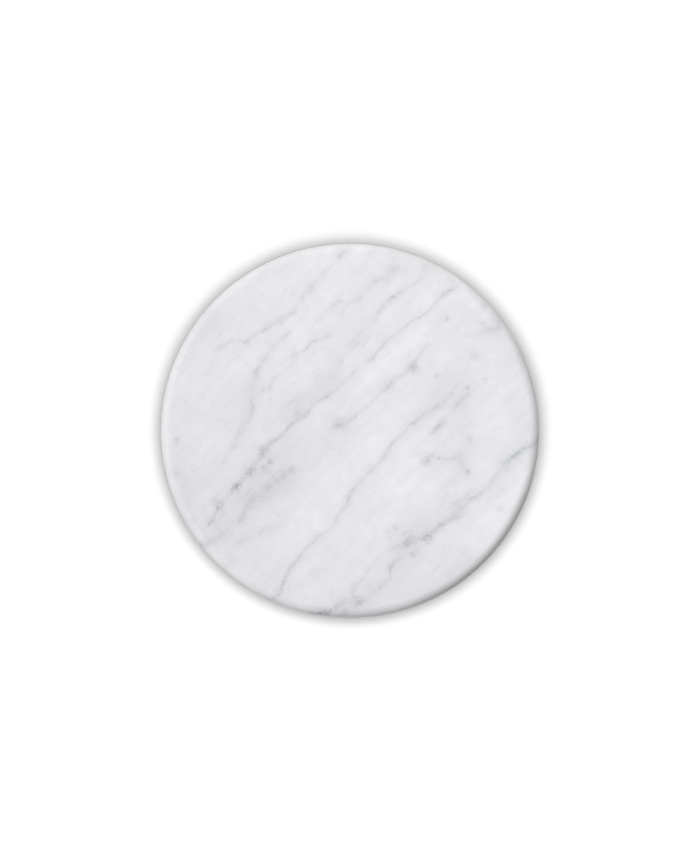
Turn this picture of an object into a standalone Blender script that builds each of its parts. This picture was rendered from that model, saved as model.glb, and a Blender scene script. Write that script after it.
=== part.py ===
"""Marble lazy susan: a round stone top that turns on an aluminium ring bearing with rubber feet.

Metres, +Z up. The origin is the middle of the footprint, on the surface that the feet stand on,
and the Z axis is the axis that the top turns about. The outer ring stands still on its feet. The
inner ring carries the stone, and caged steel balls roll in the grooves between the two rings.
"""

import math

import bmesh
import bpy
from mathutils import Matrix, Vector

# Clearances
GAP = 0.0003  # between faces that touch on the real object
RACE_CLEARANCE = 0.0002  # between a ball and its groove
POCKET_CLEARANCE = 0.0003  # between a ball and its cage pocket
THREAD_CLEARANCE = 0.0003  # round a screw's shank

# Stone top
TOP_DIAMETER = 0.305
TOP_THICKNESS = 0.016
TOP_EDGE_RADIUS = TOP_THICKNESS / 2  # the rim is a full round

# Ball race
BALL_RADIUS = 0.003
BALL_COUNT = 24
PITCH_RADIUS = 0.083  # from the turning axis to the balls' centres
RING_SPACE = 0.003  # between the two rings' facing walls
GROOVE_RADIUS = BALL_RADIUS + RACE_CLEARANCE

# Rings
RING_HEIGHT = 0.012
RING_CHAMFER = 0.001
RING_LIFT = 0.0015  # how far the inner ring stands above the outer one
OUTER_RING_RADIUS = 0.1045
INNER_RING_HOLE_RADIUS = 0.064

# Ball cage
CAGE_THICKNESS = 0.0016
CAGE_HEIGHT = 0.0088

# Loading plug, a set screw that closes the hole the balls went in through
PLUG_RADIUS = 0.0037
PLUG_HEAD_DEPTH = 0.001  # below the outer ring's wall
PLUG_SOCKET_RADIUS = 0.0023
PLUG_SOCKET_DEPTH = 0.004
PLUG_ANGLE = 0.0

# Rubber feet
FOOT_COUNT = 6
FOOT_HEIGHT = 0.006
FOOT_TOP_RADIUS = 0.009
FOOT_BOTTOM_RADIUS = 0.0084
FOOT_ROUNDING = 0.0008
FOOT_CIRCLE_RADIUS = 0.095
FOOT_RECESS_DEPTH = 0.0033
FOOT_FIRST_ANGLE = math.radians(30)

# Screws, M4 with a pan head
SHANK_RADIUS = 0.0019
SHANK_TIP_RADIUS = 0.0013
SHANK_TIP_LENGTH = 0.0008
HEAD_RADIUS = 0.0039
HEAD_HEIGHT = 0.0025
HEAD_CROWN = 0.0006
HEAD_CLEARANCE = 0.0007
CROSS_WIDTH = 0.0011
CROSS_LENGTH = 0.0044
CROSS_DEPTH = 0.0013
FOOT_SCREW_LENGTH = 0.010
TOP_SCREW_LENGTH = 0.016

# Brass inserts that are bonded into the stone
INSERT_COUNT = 4
INSERT_RADIUS = 0.004
INSERT_LENGTH = 0.0095
INSERT_HOLE_DEPTH = 0.0104
INSERT_CIRCLE_RADIUS = 0.072
INSERT_FIRST_ANGLE = math.radians(45)
RING_RECESS_DEPTH = 0.0042

# Rubber gasket between the inner ring and the stone
GASKET_THICKNESS = 0.0015
GASKET_INNER_RADIUS = INNER_RING_HOLE_RADIUS + RING_CHAMFER
GASKET_OUTER_RADIUS = 0.079

# Facets in a full turn
RING_FACETS = 72
TOP_FACETS = 96
SMALL_FACETS = 16
SCREW_FACETS = 12
SOCKET_FACETS = 6  # the plug's hexagon socket
RIM_STEPS = 10  # along the stone's rounded rim
GROOVE_STEPS = 8  # along a raceway's arc
BALL_SUBDIVISIONS = 2

# Heights, from the table up
OUTER_RING_Z = FOOT_HEIGHT + GAP
INNER_RING_Z = OUTER_RING_Z + RING_LIFT
GASKET_Z = INNER_RING_Z + RING_HEIGHT + GAP
TOP_Z = GASKET_Z + GASKET_THICKNESS + GAP
BALL_Z = (INNER_RING_Z + OUTER_RING_Z + RING_HEIGHT) / 2  # middle of what both rings reach

# Radii of the walls that face each other across the balls
OUTER_RACE_WALL = PITCH_RADIUS + RING_SPACE / 2
INNER_RACE_WALL = PITCH_RADIUS - RING_SPACE / 2
SHANK_HOLE_RADIUS = SHANK_RADIUS + THREAD_CLEARANCE
RECESS_RADIUS = HEAD_RADIUS + HEAD_CLEARANCE
CUTTER_OVERRUN = 0.002  # how far a cutter goes past the face it enters by
AXIS_MARK_SIZE = 0.02  # of the empties that hold the pieces that turn together


def material(name, colour, roughness, metallic=0.0):
    """A Principled material with one colour."""
    made = bpy.data.materials.new(name)
    made.use_nodes = True
    shader = made.node_tree.nodes["Principled BSDF"]
    shader.inputs["Base Color"].default_value = (*colour, 1.0)
    shader.inputs["Roughness"].default_value = roughness
    shader.inputs["Metallic"].default_value = metallic
    made.diffuse_color = (*colour, 1.0)
    return made


def new_object(name, mesh, collection, parent=None):
    made = bpy.data.objects.new(name, mesh)
    collection.objects.link(made)
    made.parent = parent
    return made


def empty_on_axis(name, collection):
    """An empty on the turning axis, which holds the pieces that turn together."""
    made = bpy.data.objects.new(name, None)
    collection.objects.link(made)
    made.empty_display_size = AXIS_MARK_SIZE
    return made


def ring_places(count, radius, height, first_angle=0.0):
    """(place, angle) of each of count pieces spaced evenly on a circle round the turning axis."""
    for index in range(count):
        angle = first_angle + 2 * math.pi * index / count
        yield Vector((radius * math.cos(angle), radius * math.sin(angle), height)), angle


def arc(centre_radius, centre_height, radius, start, end, steps):
    """(radius, height) points along an arc of a turned profile. Angles are from straight outwards, up."""
    points = []
    for step in range(steps + 1):
        angle = start + (end - start) * step / steps
        out, up = radius * math.cos(angle), radius * math.sin(angle)
        points.append((centre_radius + out, centre_height + up))
    return points


def turned(name, profile, facets, collection, parent=None):
    """A shape turned about Z. The profile's (radius, height) points run down its outer side. One that
    starts on the axis is open there, and any other is a closed loop."""
    edges = [(i, i + 1) for i in range(len(profile) - 1)]
    if profile[0][0] > 0:
        edges.append((len(profile) - 1, 0))
    mesh = bpy.data.meshes.new(name)
    mesh.from_pydata([(radius, 0.0, height) for radius, height in profile], edges, [])
    made = new_object(name, mesh, collection, parent)
    screw = made.modifiers.new("turn", "SCREW")
    screw.axis = "Z"
    screw.steps = screw.render_steps = facets
    screw.use_merge_vertices = True
    screw.merge_threshold = 0.00001
    return made


def rod(name, radius, start, end, facets, collection):
    """A cylinder between two points, used as a cutter."""
    along = Vector(end) - Vector(start)
    turn = along.to_track_quat("Z", "Y").to_matrix().to_4x4()
    shape = bmesh.new()
    bmesh.ops.create_cone(
        shape, cap_ends=True, segments=facets, radius1=radius, radius2=radius, depth=along.length
    )
    mesh = bpy.data.meshes.new(name)
    shape.to_mesh(mesh)
    shape.free()
    made = new_object(name, mesh, collection)
    made.matrix_world = Matrix.Translation((Vector(start) + Vector(end)) / 2) @ turn
    return made


def moved_to(collection):
    """The primitive that was just added, taken out of its own collection and put into this one."""
    added = bpy.context.object
    for owner in added.users_collection:
        owner.objects.unlink(added)
    collection.objects.link(added)
    return added


def box(name, size, centre, collection):
    shape = bmesh.new()
    bmesh.ops.create_cube(shape, size=1.0)
    bmesh.ops.scale(shape, vec=size, verts=shape.verts)
    mesh = bpy.data.meshes.new(name)
    shape.to_mesh(mesh)
    shape.free()
    made = new_object(name, mesh, collection)
    made.location = centre
    return made


def cut(target, cutters):
    """Takes each cutter out of the target, and hides the cutters."""
    for cutter in cutters:
        cutter.hide_render = True
        cutter.display_type = "WIRE"
        difference = target.modifiers.new(cutter.name, "BOOLEAN")
        difference.operation = "DIFFERENCE"
        difference.solver = "EXACT"
        difference.object = cutter


def finished_mesh(pattern):
    """The pattern's shape as one plain mesh that its copies share. The pattern itself is removed."""
    bpy.context.view_layer.update()
    graph = bpy.context.evaluated_depsgraph_get()
    mesh = bpy.data.meshes.new_from_object(pattern.evaluated_get(graph))
    mesh.name = pattern.name
    bpy.data.objects.remove(pattern)
    return mesh


def finish(piece, surface, smooth_below=35):
    """Gives a piece its material, and smooth shading on its round sides."""
    piece.data.materials.clear()
    piece.data.materials.append(surface)
    piece.data.shade_smooth()
    piece.data.set_sharp_from_angle(angle=math.radians(smooth_below))


def marble_top(collection, cutters, parent, surface):
    """The stone disc, with a full round rim and blind holes for the inserts in its underside."""
    flat_radius = TOP_DIAMETER / 2 - TOP_EDGE_RADIUS
    middle = TOP_Z + TOP_THICKNESS / 2
    rim = arc(flat_radius, middle, TOP_EDGE_RADIUS, math.pi / 2, -math.pi / 2, RIM_STEPS)
    profile = [(0.0, TOP_Z + TOP_THICKNESS), *rim, (0.0, TOP_Z)]
    piece = turned("marble_top", profile, TOP_FACETS, collection, parent)
    holes = []
    hole_end = TOP_Z + INSERT_HOLE_DEPTH
    for place, _ in ring_places(INSERT_COUNT, INSERT_CIRCLE_RADIUS, 0.0, INSERT_FIRST_ANGLE):
        start = (place.x, place.y, TOP_Z - CUTTER_OVERRUN)
        end = (place.x, place.y, hole_end)
        holes.append(rod("insert_hole", INSERT_RADIUS + GAP, start, end, SMALL_FACETS, cutters))
    cut(piece, holes)
    finish(piece, surface)


def gasket(collection, cutters, parent, surface):
    """The flat rubber ring that beds the stone on the inner ring."""
    top = GASKET_Z + GASKET_THICKNESS
    profile = [
        (GASKET_OUTER_RADIUS, top),
        (GASKET_OUTER_RADIUS, GASKET_Z),
        (GASKET_INNER_RADIUS, GASKET_Z),
        (GASKET_INNER_RADIUS, top),
    ]
    piece = turned("bedding_gasket", profile, RING_FACETS, collection, parent)
    holes = []
    for place, _ in ring_places(INSERT_COUNT, INSERT_CIRCLE_RADIUS, 0.0, INSERT_FIRST_ANGLE):
        start = (place.x, place.y, GASKET_Z - CUTTER_OVERRUN)
        end = (place.x, place.y, top + CUTTER_OVERRUN)
        holes.append(rod("gasket_hole", SHANK_HOLE_RADIUS, start, end, SCREW_FACETS, cutters))
    cut(piece, holes)
    finish(piece, surface)


def groove(side):
    """The raceway's arc, from top to bottom. side is 1 in the outer ring's wall, -1 in the inner ring's."""
    reach = math.acos(RING_SPACE / 2 / GROOVE_RADIUS)
    points = arc(PITCH_RADIUS, BALL_Z, GROOVE_RADIUS, reach, -reach, GROOVE_STEPS)
    if side > 0:
        return points
    return [(2 * PITCH_RADIUS - radius, height) for radius, height in points]


def inner_ring(collection, cutters, parent, surface):
    """The ring that turns. Its groove faces outwards, and screws go up through it into the stone."""
    bottom, top, chamfer = INNER_RING_Z, INNER_RING_Z + RING_HEIGHT, RING_CHAMFER
    profile = [
        (INNER_RACE_WALL - chamfer, top),
        (INNER_RACE_WALL, top - chamfer),
        *groove(-1),
        (INNER_RACE_WALL, bottom + chamfer / 2),
        (INNER_RACE_WALL - chamfer / 2, bottom),
        (INNER_RING_HOLE_RADIUS + chamfer, bottom),
        (INNER_RING_HOLE_RADIUS, bottom + chamfer),
        (INNER_RING_HOLE_RADIUS, top - chamfer),
        (INNER_RING_HOLE_RADIUS + chamfer, top),
    ]
    piece = turned("inner_ring", profile, RING_FACETS, collection, parent)
    holes = []
    for place, _ in ring_places(INSERT_COUNT, INSERT_CIRCLE_RADIUS, 0.0, INSERT_FIRST_ANGLE):
        below = (place.x, place.y, bottom - CUTTER_OVERRUN)
        recess_end = (place.x, place.y, bottom + RING_RECESS_DEPTH)
        above = (place.x, place.y, top + CUTTER_OVERRUN)
        holes.append(rod("screw_recess", RECESS_RADIUS, below, recess_end, SMALL_FACETS, cutters))
        holes.append(rod("screw_hole", SHANK_HOLE_RADIUS, below, above, SCREW_FACETS, cutters))
    cut(piece, holes)
    finish(piece, surface)


def radial(radius, angle, height):
    return Vector((radius * math.cos(angle), radius * math.sin(angle), height))


def outer_ring(collection, cutters, parent, surface):
    """The ring that stands still. Its groove faces inwards, tapped holes below take the feet's screws,
    and one hole through its wall lets the balls in."""
    bottom, top, chamfer = OUTER_RING_Z, OUTER_RING_Z + RING_HEIGHT, RING_CHAMFER
    profile = [
        (OUTER_RING_RADIUS - chamfer, top),
        (OUTER_RING_RADIUS, top - chamfer),
        (OUTER_RING_RADIUS, bottom + chamfer),
        (OUTER_RING_RADIUS - chamfer, bottom),
        (OUTER_RACE_WALL + chamfer, bottom),
        (OUTER_RACE_WALL, bottom + chamfer),
        *reversed(groove(1)),
        (OUTER_RACE_WALL, top - chamfer / 2),
        (OUTER_RACE_WALL + chamfer / 2, top),
    ]
    piece = turned("outer_ring", profile, RING_FACETS, collection, parent)
    loading_hole = rod(
        "loading_hole",
        PLUG_RADIUS + GAP,
        radial(PITCH_RADIUS, PLUG_ANGLE, BALL_Z),
        radial(OUTER_RING_RADIUS + CUTTER_OVERRUN, PLUG_ANGLE, BALL_Z),
        SMALL_FACETS,
        cutters,
    )
    holes = [loading_hole]
    tapped_end = FOOT_RECESS_DEPTH + FOOT_SCREW_LENGTH + GAP
    for place, _ in ring_places(FOOT_COUNT, FOOT_CIRCLE_RADIUS, 0.0, FOOT_FIRST_ANGLE):
        start = (place.x, place.y, bottom - CUTTER_OVERRUN)
        end = (place.x, place.y, tapped_end)
        holes.append(rod("tapped_hole", SHANK_HOLE_RADIUS, start, end, SCREW_FACETS, cutters))
    cut(piece, holes)
    finish(piece, surface)


def loading_plug(collection, cutters, parent, surface):
    """The set screw in the outer ring's wall. Its inner end carries on the groove, and its outer end
    has a hexagon socket."""
    head = OUTER_RING_RADIUS - PLUG_HEAD_DEPTH
    start, end = radial(OUTER_RACE_WALL + GAP, PLUG_ANGLE, BALL_Z), radial(head, PLUG_ANGLE, BALL_Z)
    piece = rod("ball_loading_plug", PLUG_RADIUS, start, end, SMALL_FACETS, collection)
    piece.parent = parent
    socket = rod(
        "plug_socket",
        PLUG_SOCKET_RADIUS,
        radial(head - PLUG_SOCKET_DEPTH, PLUG_ANGLE, BALL_Z),
        radial(head + CUTTER_OVERRUN, PLUG_ANGLE, BALL_Z),
        SOCKET_FACETS,
        cutters,
    )
    bpy.ops.mesh.primitive_torus_add(
        major_radius=PITCH_RADIUS,
        minor_radius=GROOVE_RADIUS,
        major_segments=RING_FACETS,
        minor_segments=SMALL_FACETS,
        location=(0.0, 0.0, BALL_Z),
    )
    race = moved_to(cutters)
    race.name = "race_torus"
    cut(piece, [socket, race])
    finish(piece, surface)


def cage(collection, cutters, parent, surface):
    """The nylon band that keeps the balls evenly spaced. Each ball sits in a round pocket through it."""
    inner, outer = PITCH_RADIUS - CAGE_THICKNESS / 2, PITCH_RADIUS + CAGE_THICKNESS / 2
    bottom, top = BALL_Z - CAGE_HEIGHT / 2, BALL_Z + CAGE_HEIGHT / 2
    profile = [(outer, top), (outer, bottom), (inner, bottom), (inner, top)]
    piece = turned("ball_cage", profile, RING_FACETS, collection, parent)
    pocket_radius = BALL_RADIUS + POCKET_CLEARANCE
    pockets = []
    for _, angle in ring_places(BALL_COUNT, PITCH_RADIUS, BALL_Z):
        start = radial(inner - CUTTER_OVERRUN, angle, BALL_Z)
        end = radial(outer + CUTTER_OVERRUN, angle, BALL_Z)
        pockets.append(rod("ball_pocket", pocket_radius, start, end, SCREW_FACETS, cutters))
    cut(piece, pockets)
    finish(piece, surface)


def balls(collection, cutters, parent, surface):
    """The steel balls, each with its origin at its own centre."""
    bpy.ops.mesh.primitive_ico_sphere_add(subdivisions=BALL_SUBDIVISIONS, radius=BALL_RADIUS)
    mesh = finished_mesh(moved_to(cutters))
    for index, (place, angle) in enumerate(ring_places(BALL_COUNT, PITCH_RADIUS, BALL_Z)):
        ball = new_object(f"ball_{index + 1:02d}", mesh, collection, parent)
        ball.location = place
        ball.rotation_euler.z = angle
        finish(ball, surface, smooth_below=180)


def pan_screw_mesh(name, length, cutters):
    """A pan head screw that points up, with its origin under the head, where the shank starts."""
    profile = [
        (0.0, length),
        (SHANK_TIP_RADIUS, length),
        (SHANK_RADIUS, length - SHANK_TIP_LENGTH),
        (SHANK_RADIUS, 0.0),
        (HEAD_RADIUS, 0.0),
        (HEAD_RADIUS, HEAD_CROWN - HEAD_HEIGHT),
        (HEAD_RADIUS - HEAD_CROWN, -HEAD_HEIGHT),
        (0.0, -HEAD_HEIGHT),
    ]
    pattern = turned(name, profile, SCREW_FACETS, cutters)
    middle = (0.0, 0.0, -HEAD_HEIGHT)
    slots = [
        box("cross_slot", (CROSS_LENGTH, CROSS_WIDTH, 2 * CROSS_DEPTH), middle, cutters),
        box("cross_slot", (CROSS_WIDTH, CROSS_LENGTH, 2 * CROSS_DEPTH), middle, cutters),
    ]
    cut(pattern, slots)
    mesh = finished_mesh(pattern)
    for slot in slots:
        bpy.data.objects.remove(slot)
    return mesh


def foot_mesh(cutters):
    """A rubber foot with a recess below for its screw's head. Its origin is on the surface it stands on."""
    profile = [
        (FOOT_TOP_RADIUS, FOOT_HEIGHT),
        (FOOT_BOTTOM_RADIUS, FOOT_ROUNDING),
        (FOOT_BOTTOM_RADIUS - FOOT_ROUNDING, 0.0),
        (RECESS_RADIUS, 0.0),
        (RECESS_RADIUS, FOOT_RECESS_DEPTH),
        (SHANK_HOLE_RADIUS, FOOT_RECESS_DEPTH),
        (SHANK_HOLE_RADIUS, FOOT_HEIGHT),
    ]
    return finished_mesh(turned("rubber_foot", profile, SMALL_FACETS, cutters))


def insert_mesh(cutters):
    """A brass insert, open from end to end, with its origin at its lower end."""
    profile = [
        (INSERT_RADIUS, INSERT_LENGTH),
        (INSERT_RADIUS, 0.0),
        (SHANK_HOLE_RADIUS, 0.0),
        (SHANK_HOLE_RADIUS, INSERT_LENGTH),
    ]
    return finished_mesh(turned("top_insert", profile, SMALL_FACETS, cutters))


def repeat_on_circle(name, mesh, count, radius, height, first_angle, collection, parent, surface):
    """Copies of one mesh round the turning axis, numbered from 1."""
    for index, (place, angle) in enumerate(ring_places(count, radius, height, first_angle)):
        piece = new_object(f"{name}_{index + 1}", mesh, collection, parent)
        piece.location = place
        piece.rotation_euler.z = angle
        finish(piece, surface)


def feet_and_their_screws(collection, cutters, parent, rubber, steel):
    circle = (FOOT_COUNT, FOOT_CIRCLE_RADIUS)
    first = FOOT_FIRST_ANGLE
    foot = foot_mesh(cutters)
    screw = pan_screw_mesh("foot_screw", FOOT_SCREW_LENGTH, cutters)
    repeat_on_circle("rubber_foot", foot, *circle, 0.0, first, collection, parent, rubber)
    under_head = FOOT_RECESS_DEPTH - GAP
    repeat_on_circle("foot_screw", screw, *circle, under_head, first, collection, parent, steel)


def inserts_and_their_screws(collection, cutters, parent, brass, steel):
    circle = (INSERT_COUNT, INSERT_CIRCLE_RADIUS)
    first = INSERT_FIRST_ANGLE
    insert = insert_mesh(cutters)
    screw = pan_screw_mesh("top_screw", TOP_SCREW_LENGTH, cutters)
    repeat_on_circle("top_insert", insert, *circle, TOP_Z + GAP, first, collection, parent, brass)
    under_head = INNER_RING_Z + RING_RECESS_DEPTH - GAP
    repeat_on_circle("top_screw", screw, *circle, under_head, first, collection, parent, steel)


def main():
    for leftover in list(bpy.data.objects):
        bpy.data.objects.remove(leftover)
    scene = bpy.context.scene
    parts = bpy.data.collections.new("lazy_susan")
    cutters = bpy.data.collections.new("cutters")
    scene.collection.children.link(parts)
    scene.collection.children.link(cutters)

    marble = material("white_marble", (0.80, 0.80, 0.82), 0.25)
    aluminium = material("satin_aluminium", (0.74, 0.75, 0.77), 0.35, metallic=1.0)
    rubber = material("black_rubber", (0.03, 0.03, 0.032), 0.8)
    zinc = material("zinc_steel", (0.62, 0.63, 0.65), 0.3, metallic=1.0)
    ball_steel = material("ball_steel", (0.70, 0.70, 0.72), 0.12, metallic=1.0)
    nylon = material("natural_nylon", (0.85, 0.84, 0.78), 0.5)
    brass = material("brass", (0.78, 0.60, 0.28), 0.35, metallic=1.0)

    base = empty_on_axis("base", parts)
    outer_ring(parts, cutters, base, aluminium)
    loading_plug(parts, cutters, base, zinc)
    feet_and_their_screws(parts, cutters, base, rubber, zinc)

    turntable = empty_on_axis("turntable", parts)
    marble_top(parts, cutters, turntable, marble)
    gasket(parts, cutters, turntable, rubber)
    inner_ring(parts, cutters, turntable, aluminium)
    inserts_and_their_screws(parts, cutters, turntable, brass, zinc)

    ball_set = empty_on_axis("ball_set", parts)
    cage(parts, cutters, ball_set, nylon)
    balls(parts, cutters, ball_set, ball_steel)


main()
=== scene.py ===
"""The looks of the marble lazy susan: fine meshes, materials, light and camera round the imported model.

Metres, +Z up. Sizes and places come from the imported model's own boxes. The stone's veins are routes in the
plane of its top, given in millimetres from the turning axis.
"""

import math

import bmesh
import bpy
from mathutils import Matrix, Vector


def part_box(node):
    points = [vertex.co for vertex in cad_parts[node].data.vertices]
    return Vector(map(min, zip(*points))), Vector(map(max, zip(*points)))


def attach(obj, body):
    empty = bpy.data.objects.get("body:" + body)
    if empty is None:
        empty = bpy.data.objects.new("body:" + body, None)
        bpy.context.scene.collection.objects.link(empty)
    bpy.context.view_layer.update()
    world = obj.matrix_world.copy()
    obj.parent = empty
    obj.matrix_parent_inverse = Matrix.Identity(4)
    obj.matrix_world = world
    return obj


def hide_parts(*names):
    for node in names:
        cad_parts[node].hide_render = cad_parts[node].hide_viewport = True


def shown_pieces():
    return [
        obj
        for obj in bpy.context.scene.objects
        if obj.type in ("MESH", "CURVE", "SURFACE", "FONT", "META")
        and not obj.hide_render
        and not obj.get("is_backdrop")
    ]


MM = 0.001

# The view: nearly straight down, from a long way off. Azimuths are in degrees from +X
CAMERA_AZIMUTH = -90
CAMERA_ELEVATION = 81.4
CAMERA_DISTANCE = 7.728
CAMERA_LENS = 400.0  # mm
CAMERA_SENSOR = 36.0  # mm, along the frame's long side
CAMERA_AIM_BACK = 0.45 * MM  # how far in front of the axis the aim is: the near side looks the larger

# The studio: irradiances on a surface that faces the light, where 1 shows a white surface as full white
AMBIENT = 0.21
AMBIENT_TILT = 0.38  # how much brighter it is on the key's side
SKY_SEEN = 1.05  # what the camera sees past the floor: just over full white
GLOSS_LAMP = (0.3, 0.95, 0.5, 1.5)  # cosines from the key at its edge and its core, and its light there
FLOOR_SIZE = 8.4  # its corners are about as far out as the softbox is high
FLOOR_ALBEDO = 0.25  # in the middle
# Painted shadow: the floor's colour is a little darker round and under the object than clear of it
PAINTED_SHADOW_LIFT = 1.05  # how much whiter it is clear of the object
PAINTED_SHADOW_LIFT_START = 0.16
PAINTED_SHADOW_LIFT_END = 0.23
FLOOR_ROUGHNESS = 0.9
FLOOR_BOUNCE = 0.2  # the share of the floor's light that reaches the object
SOFTBOX_LIGHT = 3.88  # a broad one over the floor, in the camera's direction, for an even shadow
SOFTBOX_DISTANCE = 6.0
SOFTBOX_RADIUS = 2.05
KEY_LIGHT = 0.783
KEY_SPREAD = 30
KEY_AZIMUTH = 136  # where it comes from
KEY_ELEVATION = 69
FILL_SPREAD = 35
STONE_FILLS = [(70, 10, 0.24), (218, 4, 0.56)]  # (azimuth, elevation, irradiance), on the stone alone
LOW_FILLS = [(azimuth, 12, 0.32) for azimuth in (45, 135, 225, 315)]  # on the pieces under the stone

# Mesh detail
DISC_SEGMENTS = 288
DISC_LOOPS = (0.0, 0.2, 0.4, 0.6, 0.8, 0.92)  # the flat faces' loops, as shares of their radius
DISC_RIM_STEPS = 32
DISC_RIM_FULLNESS = 2.3  # the exponent of the rim's section, where 2 is a plain half circle
RING_SEGMENTS = 240
SMALL_SEGMENTS = 96
SCREW_SEGMENTS = 48
THREAD_ROWS = 6  # to a turn
KNURL_ROWS = 44
CUTTER_OVERRUN = 0.5 * MM  # how far a cutter goes past the face that it comes out of
SHARP_ANGLE = 35  # degrees, from where on an edge is not shaded smooth

# The CAD nodes that come in sets
TOP_SCREWS = [f"top_screw_{number}" for number in range(1, 5)]
TOP_INSERTS = [f"top_insert_{number}" for number in range(1, 5)]
FEET = [f"rubber_foot_{number}" for number in range(1, 7)]
FOOT_SCREWS = [f"foot_screw_{number}" for number in range(1, 7)]
BALLS = [f"ball_{number:02d}" for number in range(1, 25)]

# The hardware's sizes that no box shows
CLEARANCE = 0.3 * MM  # round a part in its hole
HEAD_CLEARANCE = 0.7 * MM  # round a screw's head in its recess
GASKET_INSET = 1.0 * MM  # from the ring's hole to the gasket's
GASKET_EASE = 0.35 * MM
CAGE_EASE = 0.3 * MM
RING_BEVEL = 1.0 * MM
RING_EASE = 0.15 * MM  # the rounding of the rings' corners
HOLE_CHAMFER = 0.3 * MM
TAPPED_CHAMFER = 0.4 * MM
BALL_RADIUS = 3.0 * MM
RACE_PITCH = 83.0 * MM  # from the turning axis to the balls' centres
RACE_CLEARANCE = 0.2 * MM
WALL_OFFSET = 1.5 * MM  # from the balls' centres to each ring's wall
RING_HOLE = 64.0 * MM
CAGE_HALF_THICKNESS = 0.8 * MM
SCREW_HOLE = 2.2 * MM
SCREW_SHANK = 1.9 * MM
SCREW_HEAD = 3.9 * MM
SCREW_HEAD_HEIGHT = 2.5 * MM
SCREW_CROWN = 1.3 * MM  # the head's rounding
SCREW_FILLET = 0.15 * MM
SCREW_BARE = 1.0 * MM  # under the head, without thread
THREAD_PITCH = 0.7 * MM
THREAD_DEPTH = 0.35 * MM
PLUG_SOCKET = 2.3 * MM  # across the hexagon's corners, halved
PLUG_SOCKET_DEPTH = 3.4 * MM
PLUG_CHAMFER = 0.5 * MM
RECESS_TOP = (2.4, 0.75, 1.4)  # mm, a wing of the screws' cross recess: its length, width and height
RECESS_MOUTH = (4.8, 1.15, -0.2)
FOOT_TOP = 9.0 * MM
FOOT_SOLE = 8.4 * MM
FOOT_RECESS_DEPTH = 3.3 * MM
INSERT_RADIUS = 4.0 * MM
INSERT_COLLAR = 0.8 * MM  # the height of its plain ends
INSERT_NECK = 0.7 * MM  # half the height of its neck
KNURL_LEAN = 1.2 * MM  # the height in which a ridge moves on by one
KNURL_DEPTH = 0.25 * MM
KNURL_RIDGES = 16  # half the number of ridges round an insert

# ---------------- the stone's pattern

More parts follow.
